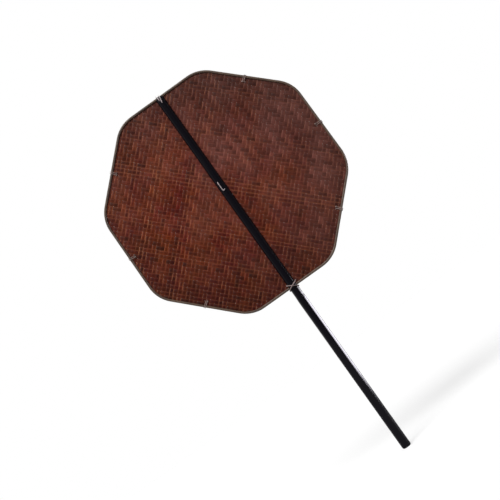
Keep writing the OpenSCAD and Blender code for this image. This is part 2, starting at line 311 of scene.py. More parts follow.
class NodeBench:
    """Builds one material, or the world's light, from nodes."""

    def __init__(self, owner: bpy.types.ID, coordinates: str = "Object") -> None:
        """Starts with the owner's own shader.

        Args:
            owner: the material or world.
            coordinates: which coordinates give the place.
        """
        owner.use_nodes = True
        self.owner = owner
        self.tree = owner.node_tree
        self.shader = next(n for n in self.tree.nodes if n.type in ("BSDF_PRINCIPLED", "BACKGROUND"))
        self.place = self.add("ShaderNodeTexCoord").outputs[coordinates]

    @classmethod
    def material(cls, name: str) -> "NodeBench":
        """Starts a new material.

        Args:
            name: the material's name.

        Returns:
            The bench.
        """
        return cls(bpy.data.materials.new(name))

    def add(self, kind: str, **settings: object) -> bpy.types.Node:
        """Adds a node.

        Args:
            kind: the node's class name.
            settings: the node's own settings.

        Returns:
            The node.
        """
        node = self.tree.nodes.new(kind)
        for key, value in settings.items():
            setattr(node, key, value)
        return node

    def feed(self, socket: bpy.types.NodeSocket, value: object) -> None:
        """Joins a socket to an input, or sets the input to a number or colour.

        Args:
            socket: the input.
            value: a socket, a number or a colour.
        """
        if isinstance(value, bpy.types.NodeSocket):
            self.tree.links.new(value, socket)
        else:
            socket.default_value = value

    def math(self, operation: str, *values: object, clamp: bool = False) -> bpy.types.NodeSocket:
        """Adds a Math node.

        Args:
            operation: what it works out.
            values: its inputs, sockets or numbers.
            clamp: whether the result is kept from 0 to 1.

        Returns:
            The result.
        """
        node = self.add("ShaderNodeMath", operation=operation, use_clamp=clamp)
        for socket, value in zip(node.inputs, values):
            self.feed(socket, value)
        return node.outputs[0]

    def product(self, first: object, *others: object) -> bpy.types.NodeSocket:
        """Multiplies numbers.

        Args:
            first: a socket or a number.
            others: what it is multiplied by in turn, at least one.

        Returns:
            The product.
        """
        for other in others:
            first = self.math("MULTIPLY", first, other)
        return first

    def moved(self, place: bpy.types.NodeSocket, location: Sequence[float] = (0, 0, 0),
              turn: Sequence[float] = (0, 0, 0),
              stretch: Sequence[float] = (1, 1, 1)) -> bpy.types.NodeSocket:
        """Gives a place as seen from a moved, turned and stretched frame.

        Args:
            place: the place.
            location: the frame's origin.
            turn: the frame's rotation in radians.
            stretch: the frame's units.

        Returns:
            The place in that frame.
        """
        node = self.add("ShaderNodeMapping", vector_type="TEXTURE")
        self.feed(node.inputs["Vector"], place)
        node.inputs["Location"].default_value = location
        node.inputs["Rotation"].default_value = turn
        node.inputs["Scale"].default_value = stretch
        return node.outputs["Vector"]

    def axes(self, place: bpy.types.NodeSocket) -> Tuple[bpy.types.NodeSocket, ...]:
        """Splits a place into x, y and z.

        Args:
            place: the place.

        Returns:
            Its three coordinates.
        """
        node = self.add("ShaderNodeSeparateXYZ")
        self.feed(node.inputs[0], place)
        return tuple(node.outputs)

    def height(self) -> bpy.types.NodeSocket:
        """The height above the stick's butt end."""
        return self.axes(self.place)[2]

    def point(self, x: object, y: object, z: object = 0.0) -> bpy.types.NodeSocket:
        """Makes a place from x, y and z.

        Args:
            x: a socket or a number.
            y: a socket or a number.
            z: a socket or a number.

        Returns:
            The place.
        """
        node = self.add("ShaderNodeCombineXYZ")
        for socket, value in zip(node.inputs, (x, y, z)):
            self.feed(socket, value)
        return node.outputs[0]

    def noise(self, place: bpy.types.NodeSocket, scale: float, detail: float = 2.0,
              roughness: float = 0.5) -> bpy.types.NodeSocket:
        """Adds soft noise, from 0 to 1 and mostly near the middle.

        Args:
            place: where it is read.
            scale: its fineness, per metre.
            detail: how many finer layers it has.
            roughness: how strong they are.

        Returns:
            The noise.
        """
        node = self.add("ShaderNodeTexNoise")
        self.feed(node.inputs["Vector"], place)
        node.inputs["Scale"].default_value = scale
        node.inputs["Detail"].default_value = detail
        node.inputs["Roughness"].default_value = roughness
        return node.outputs[0]

    def chance(self, place: bpy.types.NodeSocket) -> bpy.types.NodeSocket:
        """Gives an even random number for each whole place.

        Args:
            place: the place, of whole numbers.

        Returns:
            A number from 0 to 1.
        """
        node = self.add("ShaderNodeTexWhiteNoise", noise_dimensions="3D")
        self.feed(node.inputs["Vector"], place)
        return node.outputs["Value"]

    def span(self, value: bpy.types.NodeSocket, low: float, high: float, to_low: float = 0.0,
             to_high: float = 1.0, soft: bool = False) -> bpy.types.NodeSocket:
        """Maps a number from one range to another and stops at its ends.

        Args:
            value: the number.
            low: the range's start.
            high: the range's end.
            to_low: what the start becomes.
            to_high: what the end becomes.
            soft: whether the slope eases in and out.

        Returns:
            The mapped number.
        """
        node = self.add("ShaderNodeMapRange",
                        interpolation_type="SMOOTHSTEP" if soft else "LINEAR")
        self.feed(node.inputs["Value"], value)
        for key, number in (("From Min", low), ("From Max", high), ("To Min", to_low),
                            ("To Max", to_high)):
            node.inputs[key].default_value = number
        return node.outputs["Result"]

    def mix(self, share: object, first: object, second: object,
            blend: str = "MIX") -> bpy.types.NodeSocket:
        """Mixes two colours.

        Args:
            share: how much of the second one.
            first: a colour or a socket.
            second: a colour or a socket.
            blend: how they mix.

        Returns:
            The colour.
        """
        node = self.add("ShaderNodeMix", data_type="RGBA", blend_type=blend)
        factor, a, b = node.inputs[0], node.inputs[6], node.inputs[7]
        self.feed(factor, share)
        self.feed(a, (*first, 1.0) if isinstance(first, tuple) else first)
        self.feed(b, (*second, 1.0) if isinstance(second, tuple) else second)
        return node.outputs[2]

    def shade(self, colour: bpy.types.NodeSocket,
              level: bpy.types.NodeSocket) -> bpy.types.NodeSocket:
        """Multiplies a colour by a grey level.

        Args:
            colour: the colour.
            level: the level.

        Returns:
            The darker or lighter colour.
        """
        node = self.add("ShaderNodeVectorMath", operation="SCALE")
        self.feed(node.inputs[0], colour)
        self.feed(node.inputs["Scale"], level)
        return node.outputs[0]

    def relief(self, height: bpy.types.NodeSocket, distance: float, strength: float = 1.0,
               over: Optional[bpy.types.NodeSocket] = None) -> bpy.types.NodeSocket:
        """Makes a bump from a height.

        Args:
            height: the height, from 0 to 1.
            distance: what a height of 1 measures.
            strength: how much of it shows.
            over: a bump that this one lies over.

        Returns:
            The bumped normal.
        """
        node = self.add("ShaderNodeBump")
        self.feed(node.inputs["Height"], height)
        node.inputs["Distance"].default_value = distance
        node.inputs["Strength"].default_value = strength
        if over is not None:
            self.feed(node.inputs["Normal"], over)
        return node.outputs["Normal"]

    def surface(self, **values: object) -> bpy.types.Material:
        """Sets the shader's inputs by name, with _ for a blank.

        Args:
            values: sockets, numbers or colours.

        Returns:
            The finished material.
        """
        for key, value in values.items():
            self.feed(self.shader.inputs[key.replace("_", " ")], value)
        return self.owner


@dataclass(frozen=True)
class StripTonesAndShade:
    """How much lighter or darker the strips are drawn, each as its level at the two ends of a range; the
    dips' level is painted shade.
    """

    fibre: Tones = (0.8, 1.2)
    floats: Tones = (0.83, 1.18)
    stain: Tones = (0.74, 1.26)
    bottom_to_top: Tones = (0.76, 1.16)
    middle_to_ends: Tones = (1.0, 0.84)
    middle_to_corner: Tones = (1.04, 0.78)
    # Painted shade: darker where a strip dips under the crossing strips
    shade_valley_to_crest: Tones = (0.62, 1.0)


@dataclass(frozen=True)
class DyedStrips:
    """Split bamboo, dyed red-brown and thinly lacquered, each strip and each float a little different,
    with painted shade in the dips and painted light and shade along the crossing strips' edges.
    """

    lean: Lean
    warm: Colour
    wine: Colour
    greyed: Colour
    dark: Colour
    dulled: Colour
    split_edge: Colour
    edge_depth: float
    # How much the painted shade along the crossing strips' edges takes off
    crossing_shade_depth: float
    tones: StripTonesAndShade = StripTonesAndShade()
    set_seeds: Tones = (11.0, 31.0)
    hue_swing: float = 0.3
    dark_strips: float = 0.4
    black_floats: float = 0.05
    black_share: float = 0.5

    def material(self, name: str, sizes: FanSizes) -> bpy.types.Material:
        """Builds the finish.

        Args:
            name: the material's name.
            sizes: the fan's sizes.

        Returns:
            The material.
        """
        bench = NodeBench.material(name)
        turned = bench.moved(bench.place, sizes.centre, (0, math.radians(SIDE_ANGLE), 0))
        aside, depth, upward = bench.axes(turned)
        warp = self.in_strips(bench, aside, sizes.mat_across, sizes.warp_pitch)
        weft = self.in_strips(bench, upward, sizes.mat_across, sizes.weft_pitch)
        rising_right = self.lean is Lean.RISING_RIGHT
        own, crossing = (warp, weft) if rising_right else (weft, warp)
        own_seed, crossing_seed = self.set_seeds if rising_right else self.set_seeds[::-1]
        grain_way = (0.12, 0.3, 6) if rising_right else (6, 0.3, 0.12)
        fibre = bench.noise(bench.moved(turned, stretch=grain_way), 220, 4, 0.6)
        # Greyer towards the upper right, in patches
        greyed = self.greying(bench, sizes)
        strip = bench.math("FLOOR", own)
        crossed = bench.math("FLOOR", bench.math("MULTIPLY", crossing, 0.5))
        float_tone = bench.chance(bench.point(strip, own_seed, crossed))
        light, dim = self.edge(bench, own, own_seed)
        # Painted light and shade along the crossing strips' edges, where they show through this strip
        crossing_light, crossing_shade = self.edge(bench, crossing, crossing_seed)

        stain = bench.noise(bench.place, 24, 3, 0.6)
        height = bench.height()
        from_middle = bench.math("ABSOLUTE", bench.math("SUBTRACT", height, sizes.blade_z))
        to_corner = bench.math("ABSOLUTE", upward)
        tones = self.tones
        # The strips' tones, darker towards the bottom, the ends and the corners, with painted shade in the
        # dips and along the crossing strips' edges
        level = bench.product(
            bench.span(fibre, *MOST, *tones.fibre),
            bench.span(float_tone, 0, 1, *tones.floats),
            bench.span(stain, *MOST, *tones.stain),
            self.shading(bench, dim, greyed, self.edge_depth),
            # painted shade along the crossing strips' edges
            self.shading(bench, crossing_shade, greyed, self.crossing_shade_depth),
            bench.span(height, sizes.grip_l, sizes.stick_l, *tones.bottom_to_top),
            bench.span(from_middle, 0.35 * sizes.apothem, sizes.apothem, *tones.middle_to_ends),
            bench.span(to_corner, 0.3 * sizes.apothem, sizes.apothem, *tones.middle_to_corner),
            # painted shade where the strip dips under the crossing strips
            bench.span(bench.math("ABSOLUTE", depth), 0.2 * MM, 0.44 * MM, *tones.shade_valley_to_crest),
        )
        warmth = self.warmth(bench, turned, bench.point(strip, own_seed + 0.5, crossed))
        colour = bench.mix(warmth, self.wine, self.warm)
        colour = bench.mix(greyed, colour, self.greyed)
        colour = bench.mix(self.border(bench, sizes), colour, self.dulled)
        strip_tone = bench.chance(bench.point(strip, own_seed, 3.0))
        colour = bench.mix(bench.span(strip_tone, 0.5, 1.0, 0.0, self.dark_strips), colour, self.dark)
        black = bench.math("GREATER_THAN", float_tone, 1 - self.black_floats)
        colour = bench.mix(bench.math("MULTIPLY", black, self.black_share), colour, self.dark)
        colour = bench.shade(colour, level)

        spark = bench.noise(bench.moved(turned, stretch=grain_way), 700, 2, 0.6)
        # The pale split edges, with half of the painted light along the crossing strips' edges
        bare = bench.product(
            bench.math("MAXIMUM", light, bench.math("MULTIPLY", crossing_light, 0.5)),
            bench.span(spark, 0.35, 0.62, 0.35, 1.0),
            bench.span(greyed, 0, 1, 1.0, 0.6),
        )
        rough = bench.math("ADD", bench.span(fibre, *MOST, 0.38, 0.52), bench.math("MULTIPLY", bare, 0.2))
        return bench.surface(
            Base_Color=bench.mix(bare, colour, self.split_edge), Roughness=rough,
            Normal=bench.relief(fibre, 0.06 * MM, 0.6), Specular_IOR_Level=0.09,
        )

    def warmth(self, bench: NodeBench, turned: bpy.types.NodeSocket,
               own_float: bpy.types.NodeSocket) -> bpy.types.NodeSocket:
        """Says how much the dye leans from wine red to warm brown, in patches and float by float.

        Args:
            bench: where the nodes go.
            turned: the place along and across the strips.
            own_float: the place that stands for the float.

        Returns:
            From 0 for wine red to 1 for warm brown.
        """
        hue = bench.noise(bench.moved(turned, stretch=(1, 1, 1.6)), 34, 2, 0.5)
        swing = bench.span(bench.chance(own_float), 0, 1, -self.hue_swing, self.hue_swing)
        return bench.math("ADD", bench.span(hue, 0.36, 0.64), swing, clamp=True)

    @staticmethod
    def shading(bench: NodeBench, dim: bpy.types.NodeSocket, greyed: bpy.types.NodeSocket,
                depth: float) -> bpy.types.NodeSocket:
        """Turns a darker edge into a grey level, which is weaker where the strips are drawn greyer.

        Args:
            bench: where the nodes go.
            dim: how dark it is there.
            greyed: how much greyer the strips are drawn there.
            depth: how much the darkest place loses.

        Returns:
            The level.
        """
        loss = bench.math("MULTIPLY", dim, bench.span(greyed, 0, 1, depth, 0.5 * depth))
        return bench.math("SUBTRACT", 1.0, loss)

    @staticmethod
    def in_strips(bench: NodeBench, place: bpy.types.NodeSocket, across: float,
                  pitch: float) -> bpy.types.NodeSocket:
        """Counts strips across the mat.

        Args:
            bench: where the nodes go.
            place: the distance aside from the blade's centre.
            across: the mat's width.
            pitch: the strips' spacing.

        Returns:
            The number of strips passed, with the middle of each at a half.
        """
        return bench.math("ADD", bench.math("DIVIDE", place, pitch), round(across / pitch) / 2)

    @staticmethod
    def edge(bench: NodeBench, strips: bpy.types.NodeSocket,
             seed: float) -> Tuple[bpy.types.NodeSocket, bpy.types.NodeSocket]:
        """Draws light bands at each strip's two edges and a darker band between them: pale split edges and
        darker dye for the strip's own set, painted light and shade for the crossing set.

        Args:
            bench: where the nodes go.
            strips: the number of strips passed.
            seed: the set's own number.

        Returns:
            How light and how dark it is there.
        """
        strip = bench.math("FLOOR", strips)
        aside = bench.math("ABSOLUTE", bench.math("SUBTRACT", bench.math("FRACT", strips), 0.5))
        rare = bench.math("POWER", bench.chance(bench.point(strip, seed, 5.0)), 3.0)
        strength = bench.span(rare, 0.0, 1.0, 0.12, 0.85)
        light = bench.math("MULTIPLY", bench.span(aside, 0.33, 0.41, soft=True), strength)
        return light, bench.span(aside, 0.3, 0.06, soft=True)

    @staticmethod
    def border(bench: NodeBench, sizes: FanSizes) -> bpy.types.NodeSocket:
        """Says how dull the dye is, which it is most near the rim.

        Args:
            bench: where the nodes go.
            sizes: the fan's sizes.

        Returns:
            How much of it is dull.
        """
        right, _, upward = bench.axes(bench.moved(bench.place, sizes.centre))
        square = bench.math("ADD", bench.math("MULTIPLY", right, right),
                            bench.math("MULTIPLY", upward, upward))
        dull = bench.span(bench.math("SQRT", square), 0.6 * sizes.apothem, 1.1 * sizes.apothem, 0.0, 0.45)
        rise = bench.span(upward, -sizes.apothem, sizes.apothem, 0.55, 1.15)
        return bench.math("MULTIPLY", dull, rise)

    @staticmethod
    def greying(bench: NodeBench, sizes: FanSizes) -> bpy.types.NodeSocket:
        """Says how much greyer the strips are drawn, which they are most at the upper right.

        Args:
            bench: where the nodes go.
            sizes: the fan's sizes.

        Returns:
            From 0 for not at all to 1 for fully greyed.
        """
        turned = bench.moved(bench.place, sizes.centre, (0, math.radians(71), 0))
        upward = bench.axes(turned)[2]
        patches = bench.noise(bench.place, 24, 2)
        rise = bench.span(upward, -sizes.apothem, sizes.apothem, -0.15, 1.0)
        return bench.math("ADD", rise, bench.span(patches, *MOST, -0.35, 0.35), clamp=True)


@dataclass(frozen=True)
class OliveSplint:
    """Undyed bamboo splint, olive brown, with dark joints and fibres along the rim."""

    skin: Colour
    dull: Colour
    joint: Colour

    def material(self, name: str) -> bpy.types.Material:
        """Builds the finish, which follows the piece's UV map: along the rim, and over its section.

        Args:
            name: the material's name.

        Returns:
            The material.
        """
        bench = NodeBench.material(name)
        laid = bench.add("ShaderNodeUVMap", uv_map="Rim").outputs[0]
        fibre = bench.noise(bench.moved(laid, stretch=(14, 0.16, 1)), 420, 4, 0.6)
        mottle = bench.noise(bench.place, 75, 3, 0.6)
        colour = bench.mix(bench.span(mottle, 0.35, 0.68), self.skin, self.dull)
        colour = bench.mix(bench.span(fibre, 0.52, 0.7, 0.0, 0.6), colour, self.joint)
        colour = bench.shade(colour, bench.span(fibre, 0.25, 0.6, 0.82, 1.15))
        return bench.surface(
            Base_Color=colour, Roughness=bench.span(mottle, *MOST, 0.34, 0.52),
            Normal=bench.relief(fibre, 0.08 * MM, 0.7), Specular_IOR_Level=0.45,
        )


@dataclass(frozen=True)
class BlackLacquer:
    """Black lacquer over close-grained wood, worn a little by the hand."""

    black: Colour
    worn: Colour
    gloss: Tones = (0.08, 0.15)
    hold_ends: float = 60 * MM

    def material(self, name: str, sizes: FanSizes) -> bpy.types.Material:
        """Builds the finish.

        Args:
            name: the material's name.
            sizes: the fan's sizes.

        Returns:
            The material.
        """
        bench = NodeBench.material(name)
        grain = bench.noise(bench.moved(bench.place, stretch=(1, 1, 40)), 1500, 3, 0.6)
        brush = bench.noise(bench.moved(bench.place, stretch=(1, 1, 9)), 260, 2)
        dust = bench.noise(bench.place, 1400, 2, 0.7)
        held = bench.span(bench.height(), sizes.grip_l - self.hold_ends, self.hold_ends, soft=True)
        rubbed = bench.math("MULTIPLY", bench.span(grain, 0.55, 0.72), bench.span(brush, 0.5, 0.7))
        colour = bench.mix(bench.math("MULTIPLY", rubbed, 0.6), self.black, self.worn)
        rough = bench.span(brush, *MOST, *self.gloss)
        rough = bench.math("ADD", rough, bench.math("MULTIPLY", held, 0.07))
        rough = bench.math("ADD", rough, bench.span(dust, 0.6, 0.8, 0.0, 0.15))
        return bench.surface(
            Base_Color=colour, Roughness=rough, Specular_IOR_Level=0.25,
            Normal=bench.relief(grain, 0.03 * MM, 0.25, bench.relief(brush, 0.25 * MM, 0.1)),
        )


@dataclass(frozen=True)
class GreyThread:
    """Pale grey twisted cotton, a little soiled, with a painted highlight where it bends over the stick's
    tip.
    """

    pale: Colour
    soiled: Colour
    # Painted highlight where the thread bends over the stick's tip, and how far below and above the tip it
    # reaches
    tip_highlight: Colour = (0.80, 0.76, 0.75)
    bend: Tones = (4 * MM, 0.8 * MM)

    def material(self, name: str, sizes: FanSizes) -> bpy.types.Material:
        """Builds the finish.

        Args:
            name: the material's name.
            sizes: the fan's sizes.

        Returns:
            The material.
        """
        bench = NodeBench.material(name)
        soil = bench.noise(bench.place, 260, 3, 0.6)
        fuzz = bench.noise(bench.place, 5200, 2, 0.7)
        colour = bench.mix(bench.span(soil, 0.4, 0.72, 0.0, 0.7), self.pale, self.soiled)
        below, above = self.bend
        # Painted highlight over the stick's tip
        tip_lit = bench.span(bench.height(), sizes.stick_l - below, sizes.stick_l + above, soft=True)
        colour = bench.mix(tip_lit, colour, self.tip_highlight)
        colour = bench.shade(colour, bench.span(fuzz, *MOST, 0.82, 1.1))
        return bench.surface(
            Base_Color=colour, Roughness=0.82, Sheen_Weight=0.25, Sheen_Roughness=0.5,
            Specular_IOR_Level=0.25, Normal=bench.relief(fuzz, 0.08 * MM, 0.6),
        )


WARP_FINISH = DyedStrips(
    lean=Lean.RISING_RIGHT, warm=(0.172, 0.0265, 0.003), wine=(0.118, 0.009, 0.004),
    greyed=(0.128, 0.040, 0.031), dark=(0.024, 0.005, 0.003), dulled=(0.048, 0.020, 0.014),
    split_edge=(0.340, 0.120, 0.052), edge_depth=0.36, crossing_shade_depth=0.12,
)
# Painted shade: the weft set is a shaded copy of the warp set, each dye colour about an eighth darker and
# the split edges about half as light
WEFT_FINISH = DyedStrips(
    lean=Lean.RISING_LEFT, warm=(0.152, 0.023, 0.003), wine=(0.104, 0.008, 0.004),
    greyed=(0.111, 0.035, 0.027), dark=(0.021, 0.005, 0.003), dulled=(0.042, 0.017, 0.012),
    split_edge=(0.200, 0.062, 0.028), edge_depth=0.26, crossing_shade_depth=0.22,
)
RIM_FINISH = OliveSplint(
    skin=(0.100, 0.063, 0.041), dull=(0.052, 0.031, 0.020), joint=(0.024, 0.014, 0.009),
)
STICK_FINISH = BlackLacquer(black=(0.0028, 0.0022, 0.0042), worn=(0.020, 0.011, 0.010))
LASHING_FINISH = GreyThread(pale=(0.38, 0.31, 0.315), soiled=(0.16, 0.12, 0.115))
HANDLED_FINISH = GreyThread(pale=(0.27, 0.205, 0.20), soiled=(0.12, 0.08, 0.07))
TIE_FINISH = GreyThread(pale=(0.30, 0.22, 0.20), soiled=(0.11, 0.07, 0.055))


# Pieces


def dress(piece: bpy.types.Object, material: bpy.types.Material, slot: str, *nodes: str) -> None:
    """Gives a finished piece its material, hangs it on the root body, and hides and logs the solids that
    it stands for.

    Args:
        piece: the piece.
        material: its finish.
        slot: not used.
        nodes: the solids that it stands for.
    """
    piece.data.materials.clear()
    piece.data.materials.append(material)
    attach(piece, "root")
    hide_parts(*nodes)
    LOG.info("%s: %d faces, stands for %s", piece.name, len(piece.data.polygons), ", ".join(nodes))


@dataclass
class WovenMat:
    """The blade: two sets of flat strips, each passing over two of the other set and under two."""

    sizes: FanSizes
    over: int = 2
    chamfer: float = 0.32 * MM
    float_bow: float = 1.1
    transition: Tuple[Tuple[float, float], ...] = ((0.1, 0.5), (0.28, 1.0))
    uneven_width: float = 0.012
    uneven_place: float = 0.03 * MM
    corner_cuts: int = 4
    seed: int = 7
    cuts: List[Tuple[Vector, float]] = field(default_factory=list)

    def build(self) -> None:
        """Weaves both sets and dresses them."""
        self.cuts = self.outline_cuts()
        for lean, name, finish, slot, node in (
            (Lean.RISING_RIGHT, "rising_right_weave", WARP_FINISH, "rising_right_strips", "warp_strips"),
            (Lean.RISING_LEFT, "rising_left_weave", WEFT_FINISH, "rising_left_strips", "weft_strips"),
        ):
            piece = self.set_of_strips(lean, name)
            dress(piece, finish.material(name, self.sizes), slot, node)

    @property
    def repeat(self) -> int:
        """How many crossings one repeat of the weave has."""
        return 2 * self.over

    def counts(self) -> Tuple[int, int]:
        """How many strips rise to the right and to the left."""
        across = self.sizes.mat_across
        return round(across / self.sizes.warp_pitch), round(across / self.sizes.weft_pitch)

    def outline_cuts(self) -> List[Tuple[Vector, float]]:
        """Lists the straight cuts that trim the mat to its octagon with rounded corners.

        Returns:
            For each cut, the direction that it faces and its distance from the blade's centre.
        """
        corner_r = self.sizes.corner_r - self.sizes.mat_inset
        inner = self.sizes.apothem - self.sizes.corner_r
        cuts = []
        for side in range(SIDES):
            for step in range(self.corner_cuts):
                turn = math.radians(SIDE_ANGLE * (side + step / self.corner_cuts))
                corner = math.radians(SIDE_ANGLE * (side + 0.5))
                reach = inner / math.cos(math.radians(SIDE_ANGLE / 2)) * math.cos(turn - corner)
                cuts.append((Vector((math.cos(turn), 0, math.sin(turn))), reach + corner_r))
        return cuts

    def master_strip(self, width: float, cross_pitch: float, cells: int) -> bpy.types.Object:
        """Models one long strip that rises and dips, with its run along Z from its start at 0.

        Args:
            width: the strip's width.
            cross_pitch: the spacing of the strips that it crosses.
            cells: how many strips it crosses at least.

        Returns:
            The strip, in front over its first two crossings.
        """
        thick = self.sizes.strip_t
        rise = (thick + self.sizes.layer_clear) / 2
        stations = self.wave_stations()
        start, level = stations[0]
        deselect()
        bpy.ops.mesh.primitive_plane_add(size=1, location=(0, level * rise, start * cross_pitch))
        strip = name_active("strip")
        strip.scale = (width, thick, 1)
        settle(strip)
        edit(strip)
        bpy.ops.mesh.bevel(offset=self.chamfer, affect="VERTICES", segments=1, clamp_overlap=False)
        leave()
        self.flatten_chamfer(strip, width, thick, level * rise)
        edit(strip)
        bpy.ops.mesh.delete(type="ONLY_FACE")
        bpy.ops.mesh.select_all(action="SELECT")
        for (here, y_here), (there, y_there) in zip(stations, stations[1:]):
            pull(y=(y_there - y_here) * rise, z=(there - here) * cross_pitch)
        leave()
        apply_modifier(strip, "ARRAY", fit_type="FIXED_COUNT", count=math.ceil(cells / self.repeat) + 1,
                       use_relative_offset=False, use_constant_offset=True,
                       constant_offset_displace=(0, 0, self.repeat * cross_pitch),
                       use_merge_vertices=True, merge_threshold=HAIR)
        close_and_face_out(strip)
        return strip

    def flatten_chamfer(self, strip: bpy.types.Object, width: float, thick: float, y: float) -> None:
        """Draws the section's side points in, so that the chamfer is wide and low.

        Args:
            strip: the strip's first section.
            width: the strip's width.
            thick: the strip's thickness.
            y: the height of the section's middle.
        """
        edit_where(strip, lambda co: abs(abs(co.x) - width / 2) < HAIR)
        bpy.ops.transform.resize(value=(1, 0.5 * thick / (thick - 2 * self.chamfer), 1),
                                 center_override=(0, y, 0))
        leave()

    def wave_stations(self) -> List[Tuple[float, float]]:
        """Lists the sections of one repeat: over two crossings and under two.

        Returns:
            For each section, its place in cells and its height, from -1 in front to 1 behind.
        """
        rise_in = [(place, -level) for place, level in self.transition]
        fall_out = [(self.over - place, -level) for place, level in reversed(self.transition)]
        over = rise_in + [(self.over / 2, -self.float_bow)] + fall_out
        under = [(place + self.over, -level) for place, level in over]
        return over + under + [(self.repeat + rise_in[0][0], rise_in[0][1])]

    def set_of_strips(self, lean: Lean, name: str) -> bpy.types.Object:
        """Copies, places and trims the strips of one set.

        Args:
            lean: which set.
            name: the joined piece's name.

        Returns:
            The set as one piece of separate strips.
        """
        warps, wefts = self.counts()
        rising_right = lean is Lean.RISING_RIGHT
        pitch = self.sizes.warp_pitch if rising_right else self.sizes.weft_pitch
        cross_pitch = self.sizes.weft_pitch if rising_right else self.sizes.warp_pitch
        count, crossed = (warps, wefts) if rising_right else (wefts, warps)
        master = self.master_strip(pitch - self.sizes.strip_gap, cross_pitch, crossed + self.repeat)
        draw = random.Random(self.seed + lean.value)
        strips = []
        for index in range(count):
            offset = (index - (count - 1) / 2) * pitch
            first = index % self.repeat if rising_right else (-crossed - index) % self.repeat
            strip = own_copy(master, f"{name}_{index:02d}")
            strip.scale.x = 1 - self.uneven_width * draw.random()
            lengthwise = -(crossed - 1) / 2 * cross_pitch - (first + 0.5) * cross_pitch
            turn = Matrix.Rotation(math.radians(lean.value), 4, "Y")
            aside = offset + self.uneven_place * draw.uniform(-1, 1)
            strip.location = self.sizes.centre + turn @ Vector((aside, 0, lengthwise))
            strip.rotation_euler = (0, math.radians(lean.value), 0)
            settle(strip)
            if self.trim(strip, turn, offset, pitch):
                strips.append(strip)
        discard(master)
        whole = join(strips, name)
        smooth(whole, degrees=38)
        return whole

    def trim(self, strip: bpy.types.Object, turn: Matrix, offset: float, pitch: float) -> bool:
        """Cuts a strip's two ends to the outline.

        Args:
            strip: the strip, in place.
            turn: the rotation from upright to the strip's run.
            offset: the strip's distance aside from the blade's centre.
            pitch: the strips' spacing.

        Returns:
            Whether anything of the strip is left.
        """
        reach = 1.2 * self.sizes.apothem
        across, run = turn @ Vector((1, 0, 0)), turn @ Vector((0, 0, 1))
        corners = [across * (offset + a * pitch / 2) + run * b * reach
                   for a, b in ((-1, -1), (1, -1), (1, 1), (-1, 1))]
        edit(strip)
        for facing, distance in self.cuts:
            kept = clip(corners, facing, distance)
            if kept == corners:
                continue
            corners = kept
            if not corners:
                break
            bpy.ops.mesh.select_all(action="SELECT")
            bpy.ops.mesh.bisect(plane_co=self.sizes.centre + facing * distance, plane_no=facing,
                                use_fill=True, clear_outer=True)
        leave()
        return bool(corners) and len(strip.data.polygons) > 0


def clip(corners: List[Vector], facing: Vector, distance: float) -> List[Vector]:
    """Cuts a flat polygon by a line.

    Args:
        corners: the polygon's corners in turn.
        facing: the direction that the line faces.
        distance: its distance from the centre.

    Returns:
        The corners of what lies behind the line, the same list if all of it does.
    """
    sides = [corner.dot(facing) - distance for corner in corners]
    if max(sides, default=0) <= 0:
        return corners
    kept = []
    for index, corner in enumerate(corners):
        here, before = sides[index], sides[index - 1]
        if (here > 0) != (before > 0):
            share = before / (before - here)
            kept.append(corners[index - 1].lerp(corner, share))
        if here <= 0:
            kept.append(corner)
    return kept


